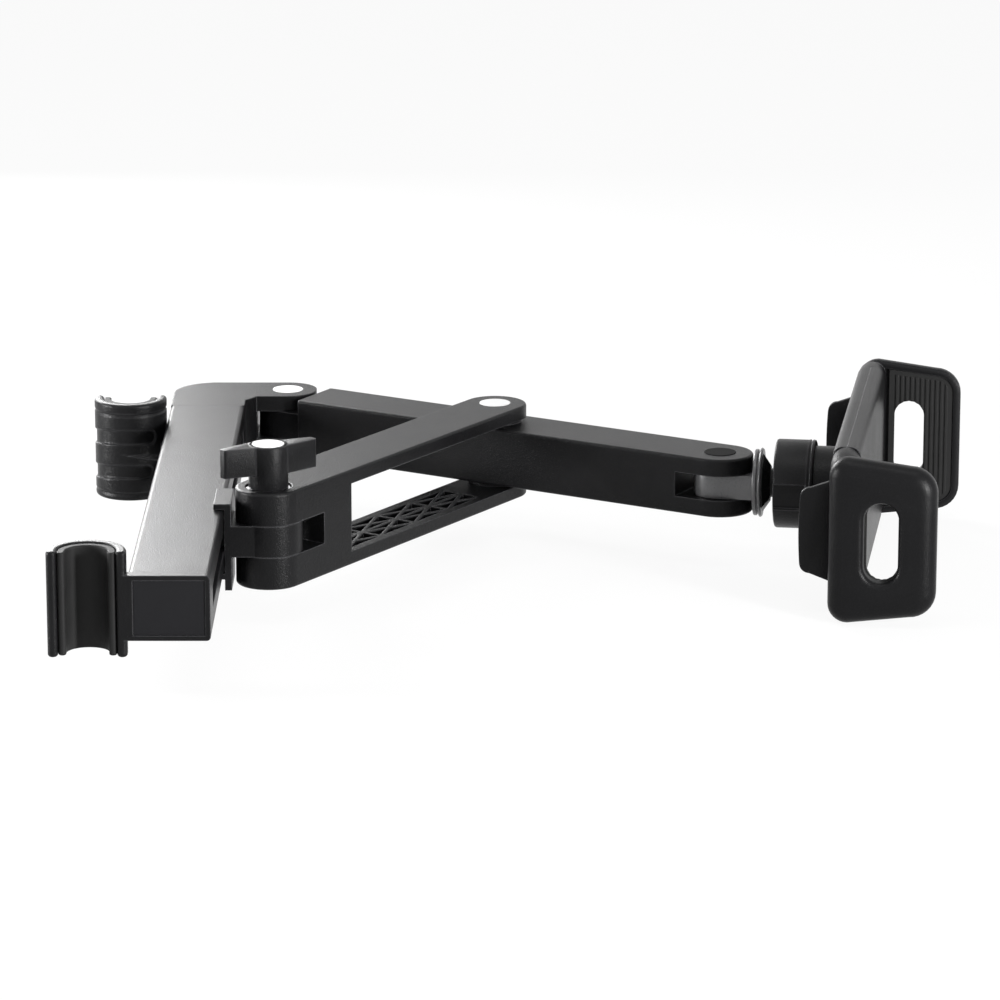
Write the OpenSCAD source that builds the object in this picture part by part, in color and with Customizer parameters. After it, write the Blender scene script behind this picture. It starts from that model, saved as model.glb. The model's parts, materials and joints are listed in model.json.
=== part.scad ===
// Headrest tablet mount: a bar between two headrest posts, a folding pair of arms and a tablet holder.
// The origin is on the near post's axis at the hook's mid height. +Y runs to the far post,
// +X to the arms and the holder, and +Z is up along the posts.

/* [Headrest posts] */
// Radius of a headrest post
post_r = 6.15; // [5:0.05:7]
// Distance between the two post axes
post_spacing = 182.2; // [170:0.1:185]
// Thickness of the rubber liner in each hook
liner_t = 2.3; // [1.5:0.1:3]
// Wall of each hook's shell
hook_wall = 3; // [2.4:0.1:4]
// Height of each hook
hook_h = 31.5; // [26:0.5:40]
// How far each hook's tips stand past the post axis
hook_tip = 2.85; // [2.4:0.05:4]
// Height of each hook's rubber liner
liner_h = 30.7; // [25:0.1:31]

/* [Bar] */
// Width of the bar
bar_w = 23.7; // [22:0.1:28]
// Height of the bar
bar_h = 19.4; // [18:0.1:24]
// Length of the bar from its near face to the elbow's seam
bar_len = 202; // [196:0.5:215]
// Wall of the bar's housing
bar_wall = 2; // [1.6:0.1:2.4]
// Radius of the bar's long edges
bar_edge_r = 1.2; // [0.6:0.1:1.8]
// How far the bar's middle lies below the hooks' middle
bar_drop = 0.95; // [0:0.05:3]
// Gap between the hooks' sides and the bar
side_gap = 0.3; // [0.2:0.05:0.8]
// Height of the long slot in each side of the bar
slot_h = 6.4; // [5:0.1:8]
// Thickness of the frame that closes the bar's near end
end_frame_t = 4; // [3:0.1:6]
// Width of the frame around the near end's smooth panel
panel_border = 1.5; // [1:0.1:3]
// Thickness of the near end's smooth panel
panel_t = 1; // [0.8:0.1:2]
// How far the end plugs reach into the bar
plug_len = 6; // [4:0.5:8]

/* [Elbow] */
// Distance from the bar's middle line to the arms' pivots
pivot_offset = 25.15; // [24.5:0.05:30]
// Distance from the elbow's seam to its pivot
elbow_reach = 22.2; // [20:0.1:30]
// Radius of the elbow's lug
lug_r = 9.5; // [8.5:0.1:10]
// Height of the slot between the elbow's two ears
elbow_slot_h = 9.2; // [8:0.1:10]
// Radius of the elbow's outer corner
elbow_corner_r = 14; // [8:0.5:20]
// Thickness of the web beside the bar
web_t = 3.4; // [2.5:0.1:3.8]

/* [Pivots] */
// Radius of the three pivot pins
pin_r = 2.5; // [2:0.1:3]
// Radius of the round caps over the pins
cap_r = 4.9; // [4:0.1:5.5]
// Thickness of the round caps
cap_t = 1.2; // [0.8:0.1:1.6]
// How far a cap stands out of its face
cap_proud = 0.15; // [0.05:0.05:0.3]
// Running clearance of pins, tongues and slides
fit = 0.05; // [0.03:0.01:0.08]

/* [Box arm] */
// Length of the box arm between its pivots
arm_b_len = 160.4; // [150:0.2:175]
// Distance from the elbow's pivot to the fork arm's pivot
arm_b_cross = 78.7; // [76:0.1:81]
// Angle of the box arm from the bar's cross direction
arm_b_angle = 30.3; // [28:0.1:33]
// Width of the box arm
arm_b_w = 20.8; // [19:0.1:22]
// Height of the box arm
arm_b_h = 18.6; // [17:0.1:18.8]
// Distance from the elbow's pivot to the full body of the box arm
shoulder = 10.4; // [10.2:0.1:14]
// Radius of the raised bosses that space the fork arm
boss_r = 8.6; // [8:0.1:9.5]
// Radius of the hidden relief around the fork arm's pin
relief_r = 6.5; // [6:0.1:7]
// Height of the slot in the wrist's clevis
wrist_slot_h = 7.8; // [7:0.1:9]
// Radius of the long edges of both arms
arm_edge_r = 0.8; // [0.4:0.1:1.2]

/* [Fork arm] */
// Length of the fork arm between its pivots
arm_a_len = 124.2; // [122:0.2:127]
// Width of the fork arm
arm_a_w = 20.2; // [19:0.1:20.6]
// Height of the fork arm
arm_a_h = 29.9; // [28:0.1:33]
// Gap between the fork arm's two plates
arm_a_gap = 21.4; // [21.2:0.1:22]
// Distance from the knob's axis to the end of the clevis slot
clevis_depth = 14.7; // [12:0.1:18]
// Distance from the knob's axis to the start of the fork
fork_start = 29.1; // [24:0.1:34]
// Depth of the pockets between the lattice ribs
pocket_depth = 2.6; // [1.5:0.1:3]
// Width of the rim along each side of a fork plate
rim_w = 2.9; // [2:0.1:4]
// Width of the lattice ribs
rib_w = 1.2; // [0.8:0.1:1.6]
// Length of one lattice bay
bay_len = 18.6; // [15:0.1:24]

/* [Slider] */
// Width of the slider along the bar
slider_w = 18.5; // [16:0.5:20]
// Thickness of the slider's body beside the bar
slider_t = 2.1; // [1.6:0.1:2.4]
// Height of the slider's tongue
tongue_h = 9.6; // [8:0.1:10]
// How far the slider's lip reaches over the bar
lip_reach = 2.9; // [2:0.1:5]
// Thickness of the slider's lips
lip_t = 1.7; // [1.2:0.1:2.5]
// Running gap between the slider and the bar's outside
slider_gap = 0.3; // [0.2:0.05:0.5]
// How far the slider reaches below the bar
slider_drop = 5.1; // [3:0.1:7]

/* [Wing knob] */
// Radius of the clamp bolt
bolt_r = 2.95; // [2.5:0.05:3.2]
// Radius of the clamp bolt's head
bolt_head_r = 5.3; // [4.5:0.1:6]
// Height of the clamp bolt's head
bolt_head_h = 3; // [2:0.1:4]
// Radius of the wing knob's boss
knob_r = 6; // [5.4:0.1:6.4]
// Top of the wing knob above the bar's middle
knob_top = 28; // [25:0.1:32]
// Height of the knob's wings
wing_h = 8.7; // [7:0.1:10]
// Reach of each wing from the knob's axis
wing_reach = 15.9; // [13:0.1:18]
// Width of each wing
wing_w = 5.4; // [4:0.1:6.6]
// How far each wing stands to one side of the knob's middle
wing_offset = 1.6; // [0:0.1:2]
// Angle of the wings from the bar's cross direction
wing_angle = 26; // [0:1:90]
// Radius of the round recess under the knob
recess_r = 7.1; // [6.9:0.1:8]
// Depth of the round recess under the knob
recess_depth = 1.3; // [1:0.1:2]

/* [Ball joint] */
// Angle of the holder from the bar's cross direction
holder_turn = 8; // [0:0.5:15]
// Distance from the wrist's pivot to the swivel's flange
flange_start = 10.8; // [10.8:0.1:12]
// Thickness of the swivel's flange
flange_t = 2.8; // [2:0.1:3.2]
// Radius of the swivel's flange
flange_r = 10.85; // [9:0.05:11]
// Radius of the faceted cone where it meets the flange
cone_base_r = 9.4; // [8:0.1:9.8]
// Radius of the faceted cone at its small end
cone_end_r = 5.8; // [5:0.1:6.4]
// Length of the faceted cone
cone_len = 2.4; // [1.6:0.1:3]
// Distance from the wrist's pivot to the ball's centre
ball_reach = 24.6; // [24.4:0.1:27]
// Radius of the ball
ball_r = 8.5; // [8:0.05:8.6]
// Radius of the ball's neck
neck_r = 4.5; // [3.5:0.1:4.6]
// Thickness of each seat ring around the ball
seat_t = 0.9; // [0.8:0.05:1]
// Width of the inner seat ring
seat_w = 6; // [4:0.1:7]
// Width of the outer seat ring
friction_w = 4.8; // [4:0.1:6]
// How far the slots that split the socket run past the ball's centre
cup_slot = 4; // [3:0.1:5]
// Running gap between the ball, its rings and its socket
ball_gap = 0.08; // [0.05:0.01:0.1]
// Outer radius of the socket's thread
socket_r = 12.1; // [12:0.05:12.4]
// Outer radius of the lock nut
nut_r = 14.3; // [14:0.1:15]
// Length of the lock nut
nut_len = 14.2; // [13.4:0.1:14.4]
// Width of each grip notch in the lock nut
notch_w = 4.4; // [3:0.1:6]
// Depth of each grip notch
notch_depth = 0.7; // [0.5:0.1:1]
// Length of each grip notch
notch_len = 6; // [4:0.1:12]
// Distance from the ball's centre to the lock nut's near face
nut_front = 7; // [6.8:0.1:7.2]

/* [Holder] */
// Distance from the wrist's pivot to the holder's back
holder_back_at = 39; // [38:0.1:42]
// Thickness of the holder's body
holder_t = 8.5; // [8.1:0.1:11]
// Height of the holder's body
holder_h = 51.4; // [48:0.1:60]
// Length of the holder's body
holder_len = 104; // [102:0.5:112]
// How much wider than the holder's length the closed jaws stand apart
jaw_gap = 20; // [19:0.5:26]
// Thickness of each jaw's wall
jaw_t = 6.5; // [5.5:0.1:8]
// Reach of each jaw from the holder's back
jaw_reach = 32.6; // [30:0.1:38]
// Height of each jaw at its tip
jaw_tip_h = 46.6; // [42:0.1:50]
// Distance from the holder's end to the inner end of each rack
rack_stop = 3.5; // [3:0.5:15]
// Width of each jaw's window
window_w = 9.1; // [7:0.1:11]
// Height of each jaw's window
window_h = 24.3; // [18:0.1:28]
// Distance from the holder's back to the middle of a jaw's window
window_at = 16.2; // [15.5:0.1:18]
// Depth of the rubber pad's seat in each jaw
pad_seat = 1.5; // [1:0.1:2]
// Depth of the finger tab on each jaw's back
tab_depth = 9.8; // [6:0.1:12]
// Height of each finger tab where it meets the jaw
tab_h = 33.5; // [28:0.5:40]
// Height of each finger tab at its free edge
tab_tip_h = 28; // [20:0.5:30]
// Thickness of each finger tab
tab_t = 2; // [1.4:0.1:3]

/* [Rack and pinion] */
// Module of the rack and pinion teeth
gear_module = 1.25; // [1.2:0.05:1.3]
// Number of teeth on the pinion
gear_teeth = 12; // [12:2:12]
// Thickness of the racks
rack_t = 4; // [3.2:0.1:4.2]
// Height of each rack's plain bar
rack_h = 11; // [8:0.5:11]

/* [Hidden] */
$fn = 64;
// Facets round the shapes that are blended
blend_fn = 32;
// How far a cut runs past the face that it opens
past = 1;

// Hooks
shell_r = post_r + liner_t + fit;
hook_r = shell_r + hook_wall;
// Bar
bar_x = hook_r + side_gap + bar_w / 2;
bar_z = -bar_drop;
bar_near = -hook_tip;
bar_far = bar_near + bar_len;
bar_left = bar_x - bar_w / 2;
bar_right = bar_x + bar_w / 2;
tube_w = bar_w - 2 * bar_wall;
tube_h = bar_h - 2 * bar_wall;
slot_start = bar_near + end_frame_t + plug_len + 3;
slot_end = bar_far - plug_len - 0.4;
plug_gap = 0.1;
// Pivots
pivot_x = bar_x + pivot_offset;
elbow_y = bar_far + elbow_reach;
cross_x = arm_b_cross * cos(arm_b_angle);
cross_y = elbow_y - arm_b_cross * sin(arm_b_angle);
knob_y = cross_y - sqrt(arm_a_len * arm_a_len - cross_x * cross_x);
arm_a_angle = atan2(cross_y - knob_y, cross_x);
wrist_x = pivot_x + arm_b_len * cos(arm_b_angle);
wrist_y = elbow_y - arm_b_len * sin(arm_b_angle);
pin_hole_r = pin_r + fit;
seat_hole_r = pin_r + 0.02;
tongue_r = lug_r - 0.1;
// Carriage and slide nut inside the bar
carriage_len = 16;
carriage_w = 9.5;
tenon_h = slot_h - 0.4;
tenon_w = 8;
tenon_len = 5;
tenon_end = bar_left + bar_wall + tenon_len;
nut_plate_t = 3.6;
slider_left = bar_right + slider_gap;
slider_right = slider_left + slider_t;
// Fork arm
arm_a_end_r = arm_a_w / 2;
// Ball joint, measured along the holder's axis from the wrist's pivot
seat_in_r = ball_r + ball_gap;
seat_out_r = seat_in_r + seat_t;
friction_in_r = seat_out_r + ball_gap;
friction_out_r = friction_in_r + seat_t;
cavity_r = friction_out_r + ball_gap;
// Holder
holder_front_at = holder_back_at + holder_t;
holder_mid_at = holder_back_at + holder_t / 2;
holder_edge_r = 3;
jaw_in = (holder_len + jaw_gap) / 2;
jaw_out = jaw_in + jaw_t;
root_start = holder_len / 2 + 0.2;
jaw_tip_at = holder_back_at + jaw_reach;
window_x = holder_back_at + window_at;
// Rack and pinion
pitch_r = gear_module * gear_teeth / 2;
tooth_pitch = PI * gear_module;
backlash = 0.1;
rack_addendum = 0.85;
rack_dedendum = 1.15;
rack_root_z = pitch_r + rack_dedendum;
rack_top_z = rack_root_z + rack_h;
rack_far = holder_len / 2 - rack_stop;
rack_seat = 4;
channel_gap = 0.25;
pinion_t = 3;

// A rectangle centred on the origin with round corners
module round_rect(w, h, r) {
    square([w - 2 * r, h], center = true);
    square([w, h - 2 * r], center = true);
    for (sx = [-1, 1], sy = [-1, 1]) {
        translate([sx * (w / 2 - r), sy * (h / 2 - r)]) circle(r);
    }
}

// A beam along +X from x0 to x1 with the section w by h and round long edges
module beam(x0, x1, w, h, r) {
    translate([x0, 0, 0]) rotate([90, 0, 90]) linear_extrude(x1 - x0) round_rect(w, h, r);
}

// A round end: the beam's section turned about the Z axis
module round_end(w, h, r) {
    rotate_extrude() intersection() {
        round_rect(w, h, r);
        translate([0, -h]) square([w, 2 * h]);
    }
}

// A disc or hole on the Z axis between two heights
module post(r, z0, z1) {
    translate([0, 0, z0]) cylinder(r = r, h = z1 - z0);
}

// A box from its lowest to its highest corner
module block(low, high) {
    translate(low) cube(high - low);
}

// Places that pieces share
module at_near_post() { children(); }
module at_far_post() { translate([0, post_spacing, 0]) mirror([0, 1, 0]) children(); }
module at_elbow() { translate([pivot_x, elbow_y, bar_z]) children(); }
module at_box_arm() { at_elbow() rotate([0, 0, -arm_b_angle]) children(); }
module at_knob() { translate([pivot_x, knob_y, bar_z]) children(); }
module at_fork_arm() { at_knob() rotate([0, 0, arm_a_angle]) children(); }
module at_cross() { translate([pivot_x + cross_x, cross_y, bar_z]) children(); }
module at_wrist() { translate([wrist_x, wrist_y, bar_z]) children(); }
module at_holder() { at_wrist() rotate([0, 0, -holder_turn]) children(); }
module at_ball() { at_holder() translate([ball_reach, 0, 0]) children(); }
// A shape drawn about Z, turned to lie along the holder's axis
module along_holder() { rotate([0, 90, 0]) children(); }

// A C-shaped wall that opens toward -Y, round at its two tips and along its edges
module c_wall(inner_r, outer_r, height, tip, edge) {
    leg_w = outer_r - inner_r;
    leg_len = tip - leg_w / 2;
    difference() {
        rotate_extrude() translate([inner_r + leg_w / 2, 0]) round_rect(leg_w, height, edge);
        block([-outer_r - past, -outer_r - past, -height], [outer_r + past, 0, height]);
    }
    for (side = [-1, 1]) translate([side * (inner_r + leg_w / 2), 0, 0]) {
        rotate([90, 0, 0]) linear_extrude(leg_len) round_rect(leg_w, height, edge);
        translate([0, -leg_len, 0]) round_end(leg_w, height, edge);
    }
}

module hook_shell() {
    c_wall(shell_r, hook_r, hook_h, hook_tip, 0.9);
}

module hook_liner() {
    c_wall(post_r, shell_r - fit, liner_h, hook_tip - 0.7, 0.5);
}

// Bar

module bar_housing() {
    color([0.16, 0.16, 0.17])
    translate([bar_x, 0, bar_z]) difference() {
        translate([0, bar_far, 0]) rotate([90, 0, 0])
            linear_extrude(bar_len - end_frame_t) round_rect(bar_w, bar_h, bar_edge_r);
        block([-tube_w / 2, bar_near, -tube_h / 2], [tube_w / 2, bar_far + past, tube_h / 2]);
        block([-bar_w / 2 - past, slot_start, -slot_h / 2], [bar_w / 2 + past, slot_end, slot_h / 2]);
    }
}

// A hollow plug that fits the bar's tube, from the Y position y0 to y1
module tube_plug(y0, y1) {
    plug_w = tube_w - 2 * plug_gap;
    plug_h = tube_h - 2 * plug_gap;
    difference() {
        block([-plug_w / 2, y0, -plug_h / 2], [plug_w / 2, y1, plug_h / 2]);
        block([-plug_w / 2 + 2, y0 - past, -plug_h / 2 + 2], [plug_w / 2 - 2, y1 + past, plug_h / 2 - 2]);
    }
}

module end_hook() {
    frame_far = bar_near + end_frame_t;
    color([0.13, 0.13, 0.14]) {
        at_near_post() hook_shell();
        difference() {
            union() {
                translate([bar_x, frame_far, bar_z]) rotate([90, 0, 0])
                    linear_extrude(end_frame_t) round_rect(bar_w, bar_h, bar_edge_r);
                block([shell_r + hook_wall / 2, bar_near, bar_z - bar_h / 2],
                      [bar_left + 2, frame_far, bar_z + bar_h / 2]);
                translate([bar_x, 0, bar_z]) tube_plug(frame_far - past, frame_far + plug_len);
            }
            translate([bar_x, bar_near + panel_t, bar_z]) rotate([90, 0, 0])
                linear_extrude(panel_t + past)
                    square([bar_w - 2 * panel_border, bar_h - 2 * panel_border], center = true);
        }
    }
}

module end_panel() {
    panel_gap = 0.1;
    color([0.2, 0.2, 0.22])
    translate([bar_x, bar_near + panel_t, bar_z]) rotate([90, 0, 0])
        linear_extrude(panel_t - 0.3)
            square([bar_w - 2 * (panel_border + panel_gap), bar_h - 2 * (panel_border + panel_gap)],
                   center = true);
}

module near_hook_liner() {
    color([0.09, 0.09, 0.1]) at_near_post() hook_liner();
}

// Elbow

// The seats of the two round caps in a piece of the given height
module cap_seats(height) {
    for (side = [0, 1]) mirror([0, 0, side]) post(cap_r + fit, pin_end(height), height / 2 + past);
}

module round_cap(z) {
    post(cap_r, z - cap_t + cap_proud, z + cap_proud);
}

module elbow_outline() {
    body_far = elbow_reach + lug_r;
    translate([-bar_w / 2, 0]) square([bar_w, body_far - elbow_corner_r]);
    translate([-bar_w / 2 + elbow_corner_r, 0]) square([bar_w - elbow_corner_r, body_far]);
    translate([-bar_w / 2 + elbow_corner_r, body_far - elbow_corner_r]) circle(elbow_corner_r);
    translate([0, elbow_reach - lug_r]) square([pivot_offset, 2 * lug_r]);
    translate([pivot_offset, elbow_reach]) circle(lug_r);
}

module elbow() {
    web_right = bar_w / 2 + web_t;
    color([0.13, 0.13, 0.14])
    translate([bar_x, bar_far, bar_z]) difference() {
        union() {
            translate([0, 0, -bar_h / 2]) linear_extrude(bar_h) elbow_outline();
            tube_plug(-plug_len, past);
        }
        block([web_right, -past, -elbow_slot_h / 2],
              [pivot_offset + lug_r + past, elbow_reach + lug_r + past, elbow_slot_h / 2]);
        translate([pivot_offset, elbow_reach, 0]) {
            post(seat_hole_r, -bar_h, bar_h);
            cap_seats(bar_h);
        }
    }
}

module elbow_pin() {
    color([0.75, 0.75, 0.77]) at_elbow() post(pin_r, -pin_end(bar_h), pin_end(bar_h));
}

// How far a pin reaches from the middle of a piece of the given height, up to its caps
function pin_end(height) = height / 2 - cap_t + cap_proud;

module elbow_cap_top() {
    color([0.95, 0.95, 0.95]) at_elbow() round_cap(bar_h / 2);
}

module elbow_cap_bottom() {
    color([0.95, 0.95, 0.95]) at_elbow() mirror([0, 0, 1]) round_cap(bar_h / 2);
}

// Far hook

module far_hook() {
    color([0.13, 0.13, 0.14]) {
        at_far_post() hook_shell();
        block([shell_r + 0.6, post_spacing - tenon_w + 2, bar_z - tenon_h / 2],
              [tenon_end, post_spacing + 2, bar_z + tenon_h / 2]);
    }
}

module far_hook_liner() {
    color([0.09, 0.09, 0.1]) at_far_post() hook_liner();
}

module hook_carriage() {
    left = bar_left + bar_wall + 0.2;
    color([0.25, 0.25, 0.27]) difference() {
        block([left, post_spacing - carriage_len / 2 - 2, bar_z - tube_h / 2 + 0.2],
              [left + carriage_w, post_spacing + carriage_len / 2 - 2, bar_z + tube_h / 2 - 0.2]);
        block([left - past, post_spacing - tenon_w + 2 - fit, bar_z - tenon_h / 2 - fit],
              [tenon_end + fit, post_spacing + 2 + fit, bar_z + tenon_h / 2 + fit]);
    }
}

// Slider

module slider_bracket() {
    lip_left = bar_right - lip_reach;
    top = bar_z + bar_h / 2 + slider_gap;
    bottom = bar_z - bar_h / 2 - slider_gap;
    color([0.15, 0.15, 0.16]) difference() {
        union() {
            block([slider_left, knob_y - slider_w / 2, bottom - slider_drop],
                  [slider_right, knob_y + slider_w / 2, top + lip_t]);
            block([lip_left, knob_y - slider_w / 2, top],
                  [slider_right, knob_y + slider_w / 2, top + lip_t]);
            block([lip_left, knob_y - slider_w / 2, bottom - lip_t],
                  [slider_right, knob_y + slider_w / 2, bottom]);
            block([bar_right - bar_wall - nut_plate_t, knob_y - tenon_w / 2, bar_z - tenon_h / 2],
                  [slider_right, knob_y + tenon_w / 2, bar_z + tenon_h / 2]);
            block([slider_left, knob_y - slider_w / 2, bar_z - tongue_h / 2],
                  [pivot_x, knob_y + slider_w / 2, bar_z + tongue_h / 2]);
            at_knob() post(arm_a_end_r, -tongue_h / 2, tongue_h / 2);
        }
        at_knob() post(bolt_r + 0.02, -tongue_h, tongue_h);
    }
}

module slide_nut() {
    right = bar_right - bar_wall - 0.2;
    color([0.7, 0.7, 0.72]) difference() {
        block([right - nut_plate_t, knob_y - slider_w / 2, bar_z - tube_h / 2 + 0.3],
              [right, knob_y + slider_w / 2, bar_z + tube_h / 2 - 0.3]);
        block([right - nut_plate_t - past, knob_y - tenon_w / 2 - fit, bar_z - tenon_h / 2 - fit],
              [right + past, knob_y + tenon_w / 2 + fit, bar_z + tenon_h / 2 + fit]);
    }
}

module clamp_bolt() {
    bottom = -arm_a_h / 2 + 0.4;
    color([0.7, 0.7, 0.72]) at_knob() {
        post(bolt_head_r, bottom, bottom + bolt_head_h);
        post(bolt_r, bottom, knob_top - 3);
    }
}

module knob_washer() {
    floor_z = arm_a_h / 2 - recess_depth;
    color([0.7, 0.7, 0.72]) at_knob() difference() {
        post(recess_r - 0.4, floor_z + fit, floor_z + 0.8);
        post(bolt_r + 0.02, floor_z - past, floor_z + 2);
    }
}

// Wing knob

// The plan of one wing, set to one side of the knob's middle
module knob_wing() {
    translate([wing_reach / 2, wing_offset]) round_rect(wing_reach, wing_w, 1.2);
}

module wing_knob() {
    foot = arm_a_h / 2 - recess_depth + 0.8 + fit;
    color([0.12, 0.12, 0.13]) at_knob() difference() {
        union() {
            post(knob_r, foot, knob_top);
            for (turn = [0, 180]) rotate([0, 0, wing_angle + turn])
                translate([0, 0, knob_top - wing_h]) linear_extrude(wing_h) knob_wing();
        }
        post(bolt_r + fit, foot - past, knob_top - 3 + fit);
        post(cap_r - 0.1 + fit, knob_top - cap_t + cap_proud, knob_top + past);
    }
}

module knob_cap() {
    color([0.95, 0.95, 0.95]) at_knob()
        post(cap_r - 0.1, knob_top - cap_t + cap_proud, knob_top + cap_proud);
}

// Fork arm

// The pockets of one fork plate, seen from above, with a rib down the middle and across each bay
module lattice_bay() {
    half_w = arm_a_w / 2 - rim_w;
    half_rib = rib_w / 2;
    slope = bay_len / half_w;
    for (side = [-1, 1]) scale([1, side]) difference() {
        translate([half_rib, half_rib]) square([bay_len - rib_w, half_w - half_rib]);
        polygon([[0, 0], [half_rib * slope, 0], [bay_len, half_w - half_rib],
                 [bay_len, half_w], [bay_len - half_rib * slope, half_w], [0, half_rib]]);
        polygon([[0, half_w], [0, half_w - half_rib], [bay_len - half_rib * slope, 0],
                 [bay_len, 0], [bay_len, half_rib], [half_rib * slope, half_w]]);
    }
}

module plate_pockets() {
    bays = floor((arm_a_len - boss_r - 2 - fork_start - rim_w) / bay_len);
    for (i = [0 : bays - 1]) translate([fork_start + rim_w / 2 + i * bay_len, 0]) lattice_bay();
}

module fork_arm() {
    inner = arm_a_gap / 2;
    slot = tongue_h / 2 + fit;
    color([0.14, 0.14, 0.15]) at_fork_arm() difference() {
        union() {
            beam(0, arm_a_len, arm_a_w, arm_a_h, arm_edge_r);
            round_end(arm_a_w, arm_a_h, arm_edge_r);
            translate([arm_a_len, 0, 0]) round_end(arm_a_w, arm_a_h, arm_edge_r);
        }
        block([-arm_a_w, -arm_a_w, -slot], [clevis_depth, arm_a_w, slot]);
        block([fork_start, -arm_a_w, -inner], [arm_a_len + arm_a_w, arm_a_w, inner]);
        for (side = [0, 1]) mirror([0, 0, side])
            translate([0, 0, -inner - pocket_depth]) linear_extrude(pocket_depth + past)
                plate_pockets();
        post(bolt_r + fit, -arm_a_h, arm_a_h);
        post(bolt_head_r + 0.1, -arm_a_h, -arm_a_h / 2 + 0.4 + bolt_head_h + fit);
        post(recess_r, arm_a_h / 2 - recess_depth, arm_a_h);
        translate([arm_a_len, 0, 0]) {
            post(seat_hole_r, -arm_a_h, arm_a_h);
            cap_seats(arm_a_h);
        }
    }
}

module fork_pin() {
    color([0.75, 0.75, 0.77]) at_cross() post(pin_r, -pin_end(arm_a_h), pin_end(arm_a_h));
}

module fork_cap_top() {
    color([0.88, 0.88, 0.88]) at_cross() round_cap(arm_a_h / 2);
}

module fork_cap_bottom() {
    color([0.88, 0.88, 0.88]) at_cross() mirror([0, 0, 1]) round_cap(arm_a_h / 2);
}

// Box arm

module box_arm() {
    tongue = elbow_slot_h / 2 - fit;
    boss_z = arm_a_gap / 2 - fit;
    wrist_slot = wrist_slot_h / 2;
    color([0.15, 0.15, 0.16]) at_box_arm() difference() {
        union() {
            beam(shoulder, arm_b_len, arm_b_w, arm_b_h, arm_edge_r);
            translate([arm_b_len, 0, 0]) round_end(arm_b_w, arm_b_h, arm_edge_r);
            block([0, -tongue_r, -tongue], [shoulder + 2, tongue_r, tongue]);
            post(tongue_r, -tongue, tongue);
            translate([arm_b_cross, 0, 0]) post(boss_r, -boss_z, boss_z);
        }
        post(pin_hole_r, -arm_b_h, arm_b_h);
        translate([arm_b_cross, 0, 0]) post(relief_r, -arm_a_h, arm_a_h);
        translate([arm_b_len, 0, 0]) {
            block([-arm_b_w / 2, -arm_b_w, -wrist_slot], [arm_b_w, arm_b_w, wrist_slot]);
            post(seat_hole_r, -arm_b_h, arm_b_h);
            cap_seats(arm_b_h);
        }
    }
}

module wrist_pin() {
    color([0.75, 0.75, 0.77]) at_wrist() post(pin_r, -pin_end(arm_b_h), pin_end(arm_b_h));
}

module wrist_cap_top() {
    color([0.16, 0.16, 0.17]) at_wrist() round_cap(arm_b_h / 2);
}

module wrist_cap_bottom() {
    color([0.16, 0.16, 0.17]) at_wrist() mirror([0, 0, 1]) round_cap(arm_b_h / 2);
}

// Ball joint

module wrist_swivel() {
    tongue = wrist_slot_h / 2 - fit;
    tongue_half = 8.2;
    stud_hole_r = 3;
    color([0.5, 0.5, 0.52]) at_holder() difference() {
        union() {
            post(tongue_half, -tongue, tongue);
            block([0, -tongue_half, -tongue], [flange_start + 1, tongue_half, tongue]);
            translate([flange_start, 0, 0]) along_holder() round_flange(flange_r, flange_t);
        }
        post(pin_hole_r, -arm_b_h, arm_b_h);
        translate([flange_start + flange_t - 2, 0, 0]) along_holder()
            post(stud_hole_r, 0, flange_t);
    }
}

// A disc of the thickness t with round rims
module round_flange(r, t) {
    translate([0, 0, t / 2]) round_end(2 * r, t, 0.8);
}

module ball_stud() {
    cone_start = flange_start + flange_t;
    stud_r = 2.98;
    color([0.14, 0.14, 0.15]) at_holder() {
        translate([ball_reach, 0, 0]) sphere(ball_r);
        translate([cone_start - 1.9, 0, 0]) along_holder() {
            post(stud_r, 0, 3);
            post(neck_r, 2, ball_reach - cone_start);
        }
        translate([cone_start, 0, 0]) along_holder()
            cylinder(r1 = cone_base_r, r2 = cone_end_r, h = cone_len, $fn = 8);
    }
}

// A zone of a spherical shell about the ball, half wide on each side of its middle
module shell_zone(inner_r, outer_r, half) {
    difference() {
        intersection() {
            sphere(outer_r);
            post(outer_r + past, -half, half);
        }
        sphere(inner_r);
    }
}

module ball_seat_ring() {
    color([0.85, 0.85, 0.8]) at_ball() along_holder() shell_zone(seat_in_r, seat_out_r, seat_w / 2);
}

module ball_friction_ring() {
    color([0.3, 0.3, 0.3]) at_ball() along_holder() shell_zone(friction_in_r, friction_out_r, friction_w / 2);
}

module lock_nut() {
    far = nut_len - nut_front;
    chamfer = 1;
    lip_back = nut_front - 1.8;
    mouth_r = 7.9;
    mouth_flare = 2.4;
    color([0.13, 0.13, 0.14]) at_ball() along_holder() difference() {
        rotate_extrude() polygon([
            [mouth_r, -lip_back], [mouth_r + mouth_flare, -nut_front], [nut_r - chamfer, -nut_front],
            [nut_r, -nut_front + chamfer], [nut_r, far - chamfer], [nut_r - chamfer, far],
            [socket_r + fit, far], [socket_r + fit, -lip_back]
        ]);
        for (turn = [0 : 60 : 359]) rotate([0, 0, turn])
            translate([0, nut_r, -nut_front]) grip_notch();
    }
}

// One rectangular grip notch in the lock nut's rim
module grip_notch() {
    translate([-notch_w / 2, -notch_depth, -past]) cube([notch_w, 3, notch_len + past]);
}

// Holder

// The holder's section, a rounded rectangle, from the Y position s0 to s1
module holder_section(s0, s1) {
    translate([holder_mid_at, s1, 0]) rotate([90, 0, 0])
        linear_extrude(s1 - s0) round_rect(holder_t, holder_h, holder_edge_r);
}

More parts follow.
